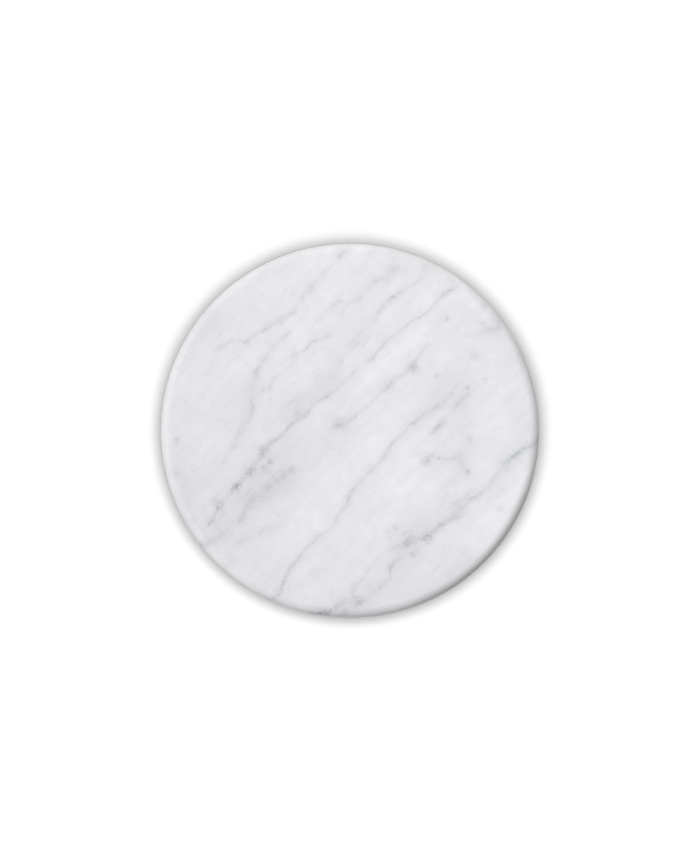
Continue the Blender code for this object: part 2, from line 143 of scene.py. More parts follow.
# A vein is a route of (x, y, width, strength) from upper right to lower left. Strength is how dark it
# is there: up to 1 in a line, and more where a short stretch reads as a spot.
LINE_VEINS = {
    "long_upper": [
        (96, 123, 2, 0.1), (84, 115, 2, 0.3), (77, 111, 3.4, 0.85), (71, 105, 1.8, 0.45),
        (64, 97, 1.8, 0.5), (47, 86, 2.4, 0.55), (40, 80, 1.8, 0.4), (33, 75, 2.4, 0.5), (23, 64, 2.6, 0.5),
        (18, 57, 3, 0.7), (13, 54, 2.2, 0.35), (6, 50, 2, 0.35), (0, 42, 3, 0.45), (-6, 36, 3.4, 0.5),
        (-20, 26, 3.6, 0.8), (-28, 21, 3, 0.45), (-35, 12, 3, 0.6), (-42, 7, 2.4, 0.5), (-49, 3, 2.4, 0.8),
        (-55, -5, 2.4, 0.8), (-65, -13, 3, 0.5), (-69, -17, 5, 1.1), (-73, -23, 3.8, 0.65),
        (-76.5, -29, 4.6, 0.75), (-81.5, -35, 6.6, 1.2), (-86, -40, 3.4, 0.75), (-89, -44, 3.2, 0.75),
        (-92.6, -47.5, 3.8, 1.4), (-96, -51, 3.6, 0.8), (-100, -57, 3, 0.65), (-105, -64, 4.4, 1.3),
        (-108, -69, 3.2, 0.8), (-110.5, -74.5, 4.4, 1.2), (-115, -79, 3, 0.4), (-120, -85, 3, 0),
    ],
    "broad_left": [
        (-43, -30, 2, 0), (-46, -33, 3, 0.35), (-52, -37, 6, 0.4), (-59.5, -42, 8, 0.38),
        (-66, -48, 8, 0.45), (-73, -53, 8, 0.5), (-79, -59, 7, 0.6), (-84, -66.5, 4.4, 0.65),
        (-87, -72.5, 4.4, 0.65), (-94, -78, 4.4, 0.25), (-101.5, -85, 5, 0.5), (-107.5, -90, 5.5, 0.45),
        (-115.5, -94, 6, 0.65), (-123, -99.5, 5, 0.4),
    ],
    "middle": [
        (66, 71, 2, 0), (60, 67, 2.8, 0.5), (55, 60, 2.8, 0.45), (50.5, 49.5, 5.5, 1.15),
        (46, 45.5, 3.4, 0.65), (37, 40.5, 2.8, 0.5), (31, 35.5, 3, 0.65), (24, 29, 2.6, 0.55),
        (18, 22, 2.6, 0.5), (10, 16, 2.6, 0.45), (4, 11, 3.6, 0.6), (-2, 7, 4.4, 0.55),
        (-7, 4.5, 6.5, 0.85), (-12, 1, 4.5, 0.35), (-17, -3, 4, 0.15), (-24, -6, 4, 0),
    ],
    "long_lower": [
        (80, 26, 3, 0), (67, 16.5, 2.8, 0.55), (62, 14.5, 2.6, 0.55), (53, 6.5, 3, 0.75), (47, 2, 2.4, 0.5),
        (44, -3, 2, 0.4), (34, -12, 2.4, 0.55), (24, -26, 2.6, 0.6), (5.6, -46, 2.2, 0.55),
        (0.3, -54.5, 2.4, 0.55), (-1.5, -60, 2.2, 0.45), (-6.5, -65.5, 2.2, 0.45), (-15, -79, 2, 0.4),
        (-23, -86, 2.6, 0.55), (-37, -99, 2.2, 0.55), (-42.5, -106.5, 2.4, 0.55), (-48, -114, 3.6, 0.8),
        (-53, -124, 3, 0.65), (-55.5, -131, 3.4, 0.7), (-60, -137, 3.4, 0.8), (-68, -147, 3, 0.6),
    ],
    "beside_lower": [
        (97, 29, 3, 0), (91, 24.5, 4.5, 0.75), (86, 19.5, 5, 0.75), (82, 14, 4, 0.15), (78, 9, 4, 0.3),
        (73.5, 4, 4.6, 0.9), (69, -1, 4, 0.8), (64, -6, 3, 0),
    ],
    "right_edge": [
        (158, -8, 3, 0.9), (132, -21.5, 3.2, 0.9), (127, -25.5, 5, 0.85), (122.5, -30, 7, 0.55),
        (118, -36, 6, 0.3), (110, -48.5, 2.4, 0.55), (95.5, -59, 3.4, 0.75), (89, -65, 4.4, 0.7),
        (83.5, -71, 6, 1.1), (78, -74.5, 3.4, 0.6), (71.5, -79, 4.5, 0.85), (67, -83, 4, 0.8),
        (62, -88, 7, 1.1), (57, -90, 5, 0.8), (50, -90, 7, 0.45), (43, -95, 3.6, 0.55), (34, -98, 4, 0.7),
        (28, -101, 3, 0.2), (14.4, -115.5, 3, 0.3), (9, -123, 3, 0.35), (3, -128, 5, 0.7),
        (3.4, -137, 6, 0.7), (-6.5, -142.5, 6, 0.85), (-13.5, -146, 5, 0.9), (-19, -149.5, 7, 1.6),
        (-28, -153.5, 7, 0.9),
    ],
    "right_fork": [
        (58, -95, 4, 0), (51.6, -102, 5, 0.65), (45, -104.5, 3, 0.3), (39, -106.5, 3.5, 0.6),
        (34, -111, 3.4, 0.7), (32.5, -116.5, 3.2, 0.9), (32.3, -122, 3, 0.5), (25.5, -128, 5, 0.65),
        (19, -134, 4, 0.5), (11, -139, 5, 0.75), (-2, -150, 5, 0.3),
    ],
    "above_right": [
        (104, -46, 2, 0), (96, -52, 2.6, 0.3), (89, -58, 3.4, 0.4), (82, -63, 3, 0.3), (75, -68, 3, 0),
    ],
    "right_wisp": [
        (92, -19, 3, 0), (84.5, -23.5, 4.5, 0.4), (79, -24, 3.5, 0.35), (68, -23, 4, 0.5),
        (63, -21, 6, 0.6), (62, -24, 7, 0.75), (57, -28, 5, 0),
    ],
    "upper_left": [
        (2, 150, 3, 0), (-9, 140, 4.5, 0.65), (-12, 137, 3, 0.2), (-16, 134, 3.5, 0.4), (-24, 125, 3, 0.2),
        (-32, 115, 5, 0.5), (-37, 109, 3.4, 0.35), (-42, 103, 3.8, 0.3), (-46, 95.5, 5, 0.6),
        (-52, 93, 3.4, 0.5), (-58, 88, 5, 0.75), (-68, 80.5, 3.4, 0.5), (-76, 77, 3, 0.6),
        (-80, 74.5, 2.5, 0.3), (-84.6, 70.4, 4, 0.85), (-92, 73, 3, 0.5), (-98, 70, 2.5, 0.45),
        (-104, 66.5, 3, 0.5), (-112, 63, 3, 0.1), (-118, 59, 3, 0),
    ],
    "left": [
        (-47, 82, 3, 0), (-58.5, 71, 5, 0.55), (-63, 65, 4, 0.35), (-68, 59, 4, 0.45), (-73, 52, 3.6, 0.35),
        (-76, 44, 4.6, 1), (-77.5, 39, 4, 0.4), (-79, 32, 5, 0.2), (-79.5, 26, 4, 0.15),
        (-79, 20.5, 4, 0.75), (-79.7, 14, 4, 0.4), (-82, 7, 4.4, 0.35), (-86.5, 2, 4.6, 0.5),
        (-90.5, -6, 3.5, 0.4), (-94, -14.5, 3.5, 0.35), (-106, -34, 4, 0),
    ],
    "left_wisp": [
        (-55, 47, 2.5, 0), (-58, 45.5, 2.8, 0.4), (-62, 41, 2.6, 0.35), (-65, 28, 2.6, 0.2),
        (-66, 21, 3, 0),
    ],
    "upper_middle": [
        (60, 124, 2, 0), (53.8, 119.7, 2.6, 0.35), (46, 115.4, 2.8, 0.4), (39.6, 110.4, 3.4, 0.45),
        (33, 106, 4.4, 0.9), (29, 102, 4, 0.5), (22, 94, 3.4, 0.6), (19, 88, 4, 0.4), (15, 82, 3, 0),
    ],
    "top": [
        (42, 135, 3, 0), (34, 129.5, 4.5, 0.45), (30, 127, 3, 0.3), (27, 124, 3.5, 0.35),
        (20, 120, 5, 0.35), (14, 113, 5, 0.25), (6, 104.5, 3, 0.5), (-1, 103, 3, 0.25),
        (-7.5, 104, 3.5, 0.5), (-10, 102, 3, 0.4), (-14, 99.5, 4, 0.45), (-20, 95, 4, 0.2), (-25, 89, 3, 0),
    ],
    "centre_left": [
        (-10, 80, 2.4, 0), (-17, 76, 3, 0.35), (-27.5, 72, 2.6, 0.5), (-32.6, 69.6, 3.4, 0.7),
        (-38, 64.5, 2.6, 0.35), (-44.6, 62, 3, 0.4), (-50, 58, 3, 0.2), (-58, 50, 3, 0),
    ],
    "right_upper": [
        (128, 86, 3, 0.2), (121.8, 83, 4, 0.35), (112, 80.5, 6, 0.55), (107, 79, 4, 0.4), (90, 74, 5, 0),
    ],
}

# Wide soft stretches where the stone is greyer, with a lavender cast
SMEARS = {
    "line_halo": [
        (74, 22, 8, 0), (50, 2, 10, 0.3), (26, -24, 10, 0.35), (14, -37, 9, 0.2), (-6, -66, 9, 0.25),
        (-16, -80, 8, 0),
    ],
    "line_foot": [
        (-20, -84, 7, 0), (-36, -100, 8, 0.2), (-46, -114, 10, 0.15), (-56, -134, 12, 0.35),
        (-64, -148, 12, 0.35),
    ],
    "between_lines": [
        (-34, -4, 8, 0), (-46, -12, 12, 0.25), (-56, -21, 17, 0.34), (-76, -42, 20, 0.2),
        (-90, -57, 22, 0.27), (-124, -96, 12, 0.15),
    ],
    "along_broad": [
        (-38, -28, 6, 0), (-48, -36, 12, 0.2), (-82, -61, 12, 0.16), (-90, -74, 9, 0.08),
        (-126, -100, 8, 0.2),
    ],
    "upper_band": [
        (16, 92, 5, 0), (9.5, 80, 7, 0.3), (5, 69, 10, 0.35), (-3, 63, 7, 0.2), (-13, 41, 12, 0.45),
        (-23, 36, 14, 0.4), (-31, 27, 10, 0.2), (-41, 22, 11, 0.35), (-43, 14, 11, 0.5), (-45, 7, 9, 0.4),
        (-54, -2, 7, 0.1),
    ],
    "right_patch": [
        (98, 54, 8, 0), (90, 46, 16, 0.25), (83, 37, 20, 0.4), (77, 27, 20, 0.42), (57, 6, 6, 0),
    ],
    "lower_right": [
        (92, -58, 8, 0), (86, -66, 13, 0.55), (75, -74, 14, 0.4), (52, -90, 22, 0.5), (24, -126, 20, 0.22),
        (12, -138, 18, 0.35), (-8, -150, 16, 0.4),
    ],
    "right_edge": [
        (152, -11, 8, 0.3), (134, -20, 10, 0.3), (122, -31, 14, 0.25), (114, -42, 12, 0.1),
        (104, -52, 9, 0.15), (94, -59, 8, 0),
    ],
    "middle_end": [(14, 18, 6, 0), (2, 10, 8, 0.05), (-8, 3, 15, 0.3), (-18, -7, 12, 0.12), (-32, -18, 8, 0)],
    "right_wisp": [(92, -19, 8, 0), (84, -25, 9, 0.3), (63, -24, 12, 0.25), (56, -29, 9, 0)],
    "far_right": [(156, 44, 14, 0.3), (138, 8, 12, 0.2), (130, -8, 10, 0)],
    "left": [
        (-54, 78, 8, 0), (-74, 46, 12, 0.3), (-85, 4, 13, 0.5), (-98, -18, 12, 0.15), (-110, -36, 10, 0),
    ],
    "far_left": [(-108, -34, 8, 0), (-121, -44, 10, 0.05), (-135, -62, 14, 0.3), (-140, -74, 12, 0.2)],
    "lower_left": [
        (-48, -68, 6, 0), (-58, -79, 9, 0.2), (-74, -84, 9, 0.2), (-86, -92, 10, 0.3), (-92, -104, 9, 0.3),
        (-98, -116, 8, 0.1),
    ],
}

# Where the dark mineral turns green, round the right-hand end of its vein
GREEN_SPOT = (130 * MM, -24 * MM)
GREEN_CORE = 12 * MM
GREEN_EDGE = 32 * MM

# Broad stretches where the stone is whiter than elsewhere or, below 0, greyer. They are partly the stone's
# own tone and partly painted light and shade, such as the greyer stretches along the rim
PALE_BANDS = {
    "upper_left": [
        (-130, 20, 14, 0), (-112, 34, 18, 0.5), (-72, 58, 26, 1.1), (-50, 74, 28, 1.1), (-30, 92, 20, 0.8),
        (-6, 122, 22, 0.8), (0, 140, 22, 0.9), (8, 150, 16, 0.5),
    ],
    "far_upper_left": [
        (-112, 92, 14, 0), (-98, 106, 18, 0.8), (-54, 120, 22, 0.5), (-28, 142, 20, 0.9), (0, 148, 16, 0.7),
    ],
    "upper_right": [
        (28, 46, 14, 0), (40, 60, 14, 0.7), (60, 78, 18, 0.7), (58, 98, 20, 0.8), (78, 108, 24, 0.9),
        (94, 108, 24, 1.4), (82, 127, 20, 1.8),
    ],
    "beside_line": [(80, 8, 12, 0), (64, -2, 14, 0.3), (48, -32, 18, 0.6), (24, -62, 14, 0)],
    "right_spot": [(128, 20, 12, 0), (109, 0, 10, 0.7), (98, -8, 10, 0)],
    # Partly painted shade: greyer along the rim
    "left_rim": [
        (-150, -14, 10, 0), (-147, 10, 8, -0.3), (-136, 62, 12, -0.5), (-118, 86, 12, -0.8),
        (-88, 122, 10, 0),
    ],
    # Partly painted shade: greyer along the rim
    "left_edge": [
        (-152, -36, 16, -0.6), (-143, -20, 22, -1), (-128, -4, 24, -0.6), (-110, 10, 18, -0.4),
        (-92, 26, 14, -0.5), (-76, 40, 12, 0),
    ],
    "below_line": [(-64, -62, 10, 0), (-36, -38, 16, -0.8), (-20, -22, 16, -0.7), (-8, -8, 10, 0)],
    "inside_line": [(-60, 4, 10, 0), (-42, 18, 14, -0.5), (-20, 45, 14, -0.5), (-8, 62, 10, 0)],
    "inside_left": [(-72, -4, 10, 0), (-62, 8, 14, -0.6), (-46, 22, 12, -0.6), (-30, 34, 10, 0)],
    # Greyer where it reaches the rim, partly painted shade there
    "right_rim": [
        (104, 30, 12, 0), (115, 46, 14, 0.4), (116, 62, 14, 0.3), (137, 55, 12, -0.7), (134, 70, 12, -0.9),
        (125, 88, 12, -0.9),
    ],
    # Partly painted shade: greyer along the rim
    "lower_right_rim": [(44, -150, 10, 0), (58, -134, 14, -0.9), (72, -124, 12, -0.7), (84, -112, 12, 0)],
    "far_lower_left": [
        (-140, -90, 12, -0.4), (-128, -74, 16, -0.8), (-130, -56, 20, -0.6), (-116, -44, 14, -0.5),
        (-102, -32, 10, 0),
    ],
    "lower_left": [(-80, -142, 12, -0.3), (-68, -124, 16, -0.7), (-44, -88, 10, 0)],
    "above_right": [(126, -42, 10, 0), (112, -51, 12, -0.5), (86, -62, 10, -0.3), (74, -78, 10, 0)],
    "between_upper": [
        (110, 104, 18, 0.2), (86, 96, 18, 0.4), (40, 64, 18, 0.5), (2, 26, 18, 0.3), (-20, 12, 16, 0),
        (-36, -2, 16, 0),
    ],
    "between_lower": [
        (60, 40, 20, 0.3), (44, 18, 24, 0.7), (22, 2, 28, 0.9), (6, -20, 30, 1), (-34, -56, 24, 0.7),
        (-66, -100, 16, 0.1),
    ],
    "above_line": [(2, -38, 8, 0), (-19, -64, 10, 0.5), (-40, -84, 8, 0)],
    "lower_middle": [
        (88, -4, 18, 0), (66, -36, 22, 0.5), (44, -44, 28, 0.7), (10, -82, 26, 0.8), (-6, -98, 22, 0.4),
        (-22, -120, 20, 0.3),
    ],
    "right": [
        (144, 26, 20, 0.6), (122, -8, 20, -0.1), (112, -28, 22, 0.4), (104, -38, 16, 0), (92, -50, 12, 0),
    ],
    "by_wisp": [(112, -4, 10, 0), (98, -18, 18, -0.6), (86, -38, 18, -0.6), (66, -54, 10, 0)],
    "lower_right": [
        (142, -40, 18, 0.6), (130, -60, 20, 0.5), (115, -80, 22, 0.9), (103, -96, 20, 0.7),
        (88, -110, 18, -0.2), (70, -120, 16, 0.2),
    ],
}

# Lone blots of (x, y, size, strength)
BLOTS = [
    (-139.5, -8.5, 5, 1.2), (-46.3, 109, 4, 1.1), (-54.5, 86.5, 4, 0.55), (-70.5, 32, 5.5, 0.7),
    (78.5, 90, 4.4, 1.9), (70, 43.5, 3.8, 1.4), (94.4, 32.6, 4.4, 1.2), (108.7, 41, 5, 1),
    (99.5, 60.5, 12, 0.45), (95, -35, 6, 1.1), (89.5, -27.5, 5, 0.45), (92, -31, 5, 0.5),
    (96.5, -8, 8.5, 0.7), (82.3, -82.3, 3.4, 0.5), (36.3, -80.2, 6, 0.35), (-69.8, -118, 3, 0.5),
    (-64.4, -27, 5, 1.6), (-70, -31, 5, 1), (119, 87, 12, 1), (107, 86, 9, 0.5), (119, -66, 9, 0.5),
    (-139, -37, 9, 0.5), (109, 101, 5, 0.45), (88, 60, 8, 0.4), (76, -100, 9, 0.4), (-55, -78, 8, 0.4),
    (60, 132, 7, 0.8),
]


class Graph:
    """Adds nodes to a material or a world. Each input takes a plain value or another node's output."""

    def __init__(self, owner):
        owner.use_nodes = True
        self.owner = owner
        self.nodes = owner.node_tree.nodes

    def node(self, kind, *inputs, **settings):
        made = self.nodes.new(kind)
        for name, setting in settings.items():
            setattr(made, name, setting)
        self.feed(made, dict(enumerate(inputs)))
        return made

    def feed(self, node, inputs):
        """Fills a node's inputs, each under its name or number."""
        for key, given in inputs.items():
            if isinstance(given, bpy.types.NodeSocket):
                self.owner.node_tree.links.new(given, node.inputs[key])
            elif given is not None:
                node.inputs[key].default_value = given

    def joined(self, x, y, z):
        return self.node("ShaderNodeCombineXYZ", x, y, z).outputs[0]

    def split(self, vector):
        return tuple(self.node("ShaderNodeSeparateXYZ", vector).outputs)

    def math(self, operation, *inputs, clamp=False):
        return self.node("ShaderNodeMath", *inputs, operation=operation, use_clamp=clamp).outputs[0]

    def vector(self, operation, *inputs):
        made = self.node("ShaderNodeVectorMath", *inputs, operation=operation)
        return made.outputs["Value" if operation in ("DOT_PRODUCT", "LENGTH", "DISTANCE") else "Vector"]

    def scaled(self, vector, factors):
        return self.vector("MULTIPLY", vector, factors)

    def noise(self, vector, scale, detail=2.0, roughness=0.5, output="Fac"):
        made = self.node("ShaderNodeTexNoise")
        self.feed(made, {"Vector": vector, "Scale": scale, "Detail": detail, "Roughness": roughness})
        return made.outputs[output]

    def remap(self, value, low, high, to_low, to_high, smooth=False):
        made = self.node("ShaderNodeMapRange", value, low, high, to_low, to_high)
        if smooth:
            made.interpolation_type = "SMOOTHSTEP"
        return made.outputs[0]

    def mix(self, factor, first, second):
        made = self.node("ShaderNodeMix", data_type="RGBA")
        self.feed(made, {0: factor, 6: first, 7: second})
        return made.outputs[2]

    def bump(self, height, distance, normal=None):
        made = self.node("ShaderNodeBump")
        self.feed(made, {"Distance": distance, "Height": height, "Normal": normal})
        return made.outputs[0]

    def surface(self, colour, roughness, normal=None, metallic=0.0, specular=0.5):
        """The material, with its shader's inputs filled."""
        self.feed(self.nodes["Principled BSDF"], {
            "Base Color": colour, "Roughness": roughness, "Normal": normal, "Metallic": metallic,
            "Specular IOR Level": specular,
        })
        return self.owner


def new_material(name):
    """(a new material's graph, object coordinates in metres)."""
    graph = Graph(bpy.data.materials.new(name))
    return graph, graph.node("ShaderNodeTexCoord").outputs["Object"]


# ---------------- marble

# The veins run at 45 degrees over the top: "along" is up that diagonal and "across" is square to it
ALONG = (math.sqrt(0.5), math.sqrt(0.5), 0.0)
ACROSS = (-math.sqrt(0.5), math.sqrt(0.5), 0.0)
VEIN_LEAN = (0.35, -0.55, 0.0)  # how far a vein's sheet moves sideways for each metre down the stone
WIDEST_VEIN = 30.0  # mm, what 1 stands for in a vein's width curve
VEIN_SPREAD = 0.75  # of its width, from a vein's middle to where it has faded to a third
VEIN_FADE = 1.6
SLOW_WAVER = 4.5 * MM
FINE_WAVER = 3.0 * MM
NOISE_MIDDLE = (0.5, 0.5, 0.5)
STONE_GREY = (0.703, 0.702, 0.722, 1)
STONE_WHITE = (0.838, 0.834, 0.850, 1)
STREAK_GREY = (0.56, 0.565, 0.59, 1)
MOTTLE_GREY = (0.50, 0.505, 0.53, 1)
LAVENDER_HAZE = (0.455, 0.435, 0.52, 1)
DARK_MINERAL = (0.178, 0.171, 0.202, 1)
GREEN_MINERAL = (0.11, 0.21, 0.215, 1)


def route_curves(graph, along, stations, reach):
    """(across, width, strength) of a vein's route at the place along, from one Vector Curves node."""
    node = graph.node("ShaderNodeVectorCurve")
    graph.feed(node, {"Vector": graph.joined(along, along, along)})
    points = []
    for x, y, width, strength in stations:
        place = (x * ALONG[0] + y * ALONG[1]) * MM / reach
        offset = (x * ACROSS[0] + y * ACROSS[1]) * MM / reach
        points.append((place, offset, width / WIDEST_VEIN, strength))
    points.sort()
    node.mapping.extend = "HORIZONTAL"
    for index, curve in enumerate(node.mapping.curves, 1):
        first, *between, last = [(point[0], point[index]) for point in points]
        curve.points[0].location = first
        curve.points[-1].location = last
        for place, value in between:
            curve.points.new(place, value)
        for point in curve.points:
            point.handle_type = "AUTO_CLAMPED"
    node.mapping.update()
    return graph.split(node.outputs[0])


def vein_darkness(graph, along, across, stations, reach):
    """How dark a vein makes a place: its strength at the middle of its width, fading out sideways."""
    offset, width, strength = route_curves(graph, along, stations, reach)
    away = graph.math("SUBTRACT", across, offset)
    spread = graph.math("MULTIPLY", width, WIDEST_VEIN * VEIN_SPREAD * MM / reach)
    ratio = graph.math("DIVIDE", away, spread)
    nearness = graph.math("DIVIDE", 1.0, graph.math("MULTIPLY_ADD", ratio, ratio, 1.0))
    return graph.math("MULTIPLY", graph.math("POWER", nearness, VEIN_FADE), strength)


def total(graph, values):
    """The sum of several values, each added as soon as it is made, which keeps the shader small."""
    running = 0.0
    for value in values:
        running = graph.math("ADD", running, value)
    return running


def blot_darkness(graph, place, blot, top):
    x, y, size, strength = blot
    away = graph.vector("DISTANCE", place, (x * MM, y * MM, top))
    ratio = graph.math("DIVIDE", away, size / 2 * MM)
    squares = graph.math("MULTIPLY_ADD", ratio, ratio, 1.0)
    return graph.math("DIVIDE", strength, graph.math("MULTIPLY", squares, squares))


def marble_material(reach, top):
    """White marble. reach is the disc's radius, and top the height of its upper face."""
    graph, place = new_material("white_marble")

    # Veins are sheets through the stone, a little off upright, so they run on down the rim
    depth = graph.math("SUBTRACT", top, graph.split(place)[2])
    sheet = graph.vector("ADD", place, graph.scaled(graph.joined(depth, depth, depth), VEIN_LEAN))

    # Natural waver: a slow bend and a fine jitter
    slow = graph.noise(sheet, 45.0, output="Color")
    fine = graph.noise(sheet, 330.0, 3.0, 0.6, output="Color")
    slow_move = graph.scaled(graph.vector("SUBTRACT", slow, NOISE_MIDDLE), (SLOW_WAVER,) * 3)
    fine_move = graph.scaled(graph.vector("SUBTRACT", fine, NOISE_MIDDLE), (FINE_WAVER,) * 3)
    wavering = graph.vector("ADD", sheet, graph.vector("ADD", slow_move, fine_move))

    along = graph.math("DIVIDE", graph.vector("DOT_PRODUCT", wavering, ALONG), reach)
    across = graph.math("DIVIDE", graph.vector("DOT_PRODUCT", wavering, ACROSS), reach)

    # The stone's grain follows the veins: noise drawn out along them
    level = graph.math("DIVIDE", graph.split(wavering)[2], reach)
    drawn = graph.joined(along, across, level)
    streaks_wide = graph.noise(graph.scaled(drawn, (1.3, 4.5, 3.0)), 1.0, 3.0, 0.55)
    streaks_fine = graph.noise(graph.scaled(drawn, (6.0, 22.0, 12.0)), 1.0, 5.0, 0.62)
    lengthwise = graph.noise(graph.scaled(drawn, (15.0, 9.0, 9.0)), 1.0)
    mottle = graph.noise(place, 120.0, 5.0, 0.62)
    speckle = graph.noise(place, 480.0, 3.0, 0.6)

    # Hair veins: thin lines where a drawn-out noise crosses its middle value, here and there
    hairs_noise = graph.noise(graph.scaled(drawn, (2.6, 11.0, 7.0)), 1.0, 4.0, 0.58)
    hairs = graph.math("ABSOLUTE", graph.math("SUBTRACT", hairs_noise, 0.5))
    hairs = graph.remap(hairs, 0.0, 0.045, 1.0, 0.0, smooth=True)
    hairs = graph.math("MULTIPLY", hairs, graph.remap(lengthwise, 0.42, 0.66, 0.0, 1.0))

    lines, smears, lights = (
        total(graph, (vein_darkness(graph, along, across, route, reach) for route in routes.values()))
        for routes in (LINE_VEINS, SMEARS, PALE_BANDS)
    )
    blots = total(graph, (blot_darkness(graph, wavering, blot, top) for blot in BLOTS))

    # Dark mineral is grainy, so a vein breaks up into specks and comes and goes along its length
    grainy = graph.remap(speckle, 0.34, 0.64, 0.45, 1.35)
    patchy = graph.remap(lengthwise, 0.3, 0.7, 0.5, 1.35)
    dark = graph.math("ADD", lines, graph.math("MULTIPLY", blots, 0.8))
    dark = graph.math("MULTIPLY", dark, graph.math("MULTIPLY", grainy, patchy))
    zone = graph.math("MULTIPLY_ADD", smears, 0.7, 0.16)
    dark = graph.math("MULTIPLY_ADD", hairs, zone, dark)
    dark = graph.math("MULTIPLY", dark, 0.35, clamp=True)
    cloudy = graph.remap(streaks_fine, 0.34, 0.68, 0.25, 1.6)
    cloudy = graph.math("MULTIPLY", cloudy, graph.remap(mottle, 0.35, 0.65, 0.6, 1.3))
    hazy = graph.math("MULTIPLY", smears, cloudy, clamp=True)

    wide = graph.remap(streaks_wide, 0.32, 0.68, 0.1, 0.7)
    wide = graph.math("MULTIPLY_ADD", lights, 0.55, wide, clamp=True)
    ground = graph.mix(wide, STONE_GREY, STONE_WHITE)
    ground = graph.mix(graph.remap(streaks_fine, 0.32, 0.72, 0.2, 0.0), ground, STREAK_GREY)
    ground = graph.mix(graph.remap(mottle, 0.32, 0.66, 0.14, 0.0), ground, MOTTLE_GREY)
    hazed = graph.mix(graph.math("MULTIPLY", hazy, 0.5), ground, LAVENDER_HAZE)
    from_green = graph.vector("DISTANCE", place, (*GREEN_SPOT, top))
    greenish = graph.remap(from_green, GREEN_CORE, GREEN_EDGE, 1.0, 0.0, smooth=True)
    colour = graph.mix(dark, hazed, graph.mix(greenish, DARK_MINERAL, GREEN_MINERAL))

    # A fine honed polish: the grain takes it a little unevenly, and the veins a little less
    sheen = graph.remap(mottle, 0.3, 0.7, 0.27, 0.36)
    roughness = graph.math("MULTIPLY_ADD", dark, 0.12, sheen)
    waves = graph.bump(graph.noise(place, 55.0), 0.06 * MM)
    pits = graph.noise(place, 1500.0)
    return graph.surface(colour, roughness, graph.bump(pits, 0.01 * MM, normal=waves))


# ---------------- hardware materials


def turned_aluminium():
    """Satin anodised aluminium with the fine rings that a lathe leaves."""
    graph, place = new_material("turned_aluminium")
    x, y, z = graph.split(place)
    radius = graph.vector("LENGTH", graph.joined(x, y, 0.0))
    lines = graph.joined(radius, 0.0, z)
    rings = graph.noise(lines, 5200.0, 2.0, 0.6)
    cloud = graph.noise(place, 60.0, 4.0, 0.6)
    grit = graph.noise(place, 2600.0, 2.0, 0.6)
    bands = graph.noise(lines, 1100.0, 2.0, 0.6)
    tone = graph.mix(cloud, (0.47, 0.475, 0.485, 1), (0.56, 0.562, 0.57, 1))
    tone = graph.mix(graph.remap(rings, 0.35, 0.65, 0.16, 0.0), tone, (0.30, 0.30, 0.31, 1))
    tone = graph.mix(graph.remap(bands, 0.38, 0.62, 0.22, 0.0), tone, (0.33, 0.33, 0.34, 1))
    roughness = graph.remap(rings, 0.3, 0.7, 0.30, 0.46)
    fine = graph.bump(grit, 0.006 * MM)
    return graph.surface(tone, roughness, graph.bump(rings, 0.02 * MM, normal=fine), metallic=1.0)


def moulded_rubber():
    """Black rubber with a fine moulded grain, a little dusty."""
    graph, place = new_material("moulded_rubber")
    grain = graph.noise(place, 3200.0, 3.0, 0.6)
    dust = graph.noise(place, 240.0, 5.0, 0.65)
    dusty = graph.remap(dust, 0.45, 0.75, 0.0, 0.5)
    tone = graph.mix(dusty, (0.016, 0.016, 0.017, 1), (0.06, 0.058, 0.055, 1))
    return graph.surface(tone, graph.remap(dust, 0.3, 0.7, 0.58, 0.82), graph.bump(grain, 0.04 * MM))


def zinc_plate():
    """Bright zinc plate: cool grey steel with a faint bluish and straw bloom."""
    graph, place = new_material("zinc_plate")
    bloom = graph.noise(place, 420.0, 3.0, 0.6)
    spangle = graph.noise(place, 1500.0, 3.0, 0.6)
    tone = graph.mix(graph.remap(bloom, 0.35, 0.65, 0.0, 1.0), (0.58, 0.61, 0.66, 1), (0.70, 0.69, 0.64, 1))
    tone = graph.mix(graph.remap(spangle, 0.4, 0.7, 0.0, 0.35), tone, (0.40, 0.41, 0.43, 1))
    roughness = graph.remap(spangle, 0.3, 0.7, 0.24, 0.42)
    return graph.surface(tone, roughness, graph.bump(spangle, 0.01 * MM), metallic=1.0)


def bearing_steel():
    """Polished hardened steel with a thin film of grease in places."""
    graph, place = new_material("bearing_steel")
    film = graph.noise(place, 520.0, 3.0, 0.55)
    lapping = graph.noise(graph.scaled(place, (1.0, 1.0, 6.0)), 2400.0)
    tone = graph.mix(graph.remap(film, 0.4, 0.7, 0.0, 0.4), (0.62, 0.62, 0.64, 1), (0.50, 0.48, 0.43, 1))
    roughness = graph.remap(film, 0.35, 0.7, 0.07, 0.22)
    return graph.surface(tone, roughness, graph.bump(lapping, 0.002 * MM), metallic=1.0)


def natural_nylon():
    """Moulded natural nylon: a waxy off-white with slight flow marks."""
    graph, place = new_material("natural_nylon")
    flow = graph.noise(graph.scaled(place, (1.0, 1.0, 4.0)), 260.0, 4.0, 0.6)
    grain = graph.noise(place, 2600.0)
    tone = graph.mix(graph.remap(flow, 0.35, 0.65, 0.0, 1.0), (0.66, 0.63, 0.55, 1), (0.76, 0.74, 0.67, 1))
    return graph.surface(tone, graph.remap(grain, 0.3, 0.7, 0.36, 0.50), graph.bump(grain, 0.01 * MM))


def machined_brass():
    """Turned brass, a little tarnished in the low places."""
    graph, place = new_material("machined_brass")
    tarnish = graph.noise(place, 700.0, 4.0, 0.6)
    cuts = graph.noise(graph.scaled(place, (1.0, 1.0, 8.0)), 2200.0)
    tone = graph.mix(graph.remap(tarnish, 0.4, 0.7, 0.0, 0.6), (0.78, 0.58, 0.27, 1), (0.42, 0.29, 0.13, 1))
    roughness = graph.remap(cuts, 0.3, 0.7, 0.22, 0.38)
    return graph.surface(tone, roughness, graph.bump(cuts, 0.012 * MM), metallic=1.0)


# ---------------- mesh tools


def add_object(name, data):
    made = bpy.data.objects.new(name, data)
    bpy.context.scene.collection.objects.link(made)
    return made


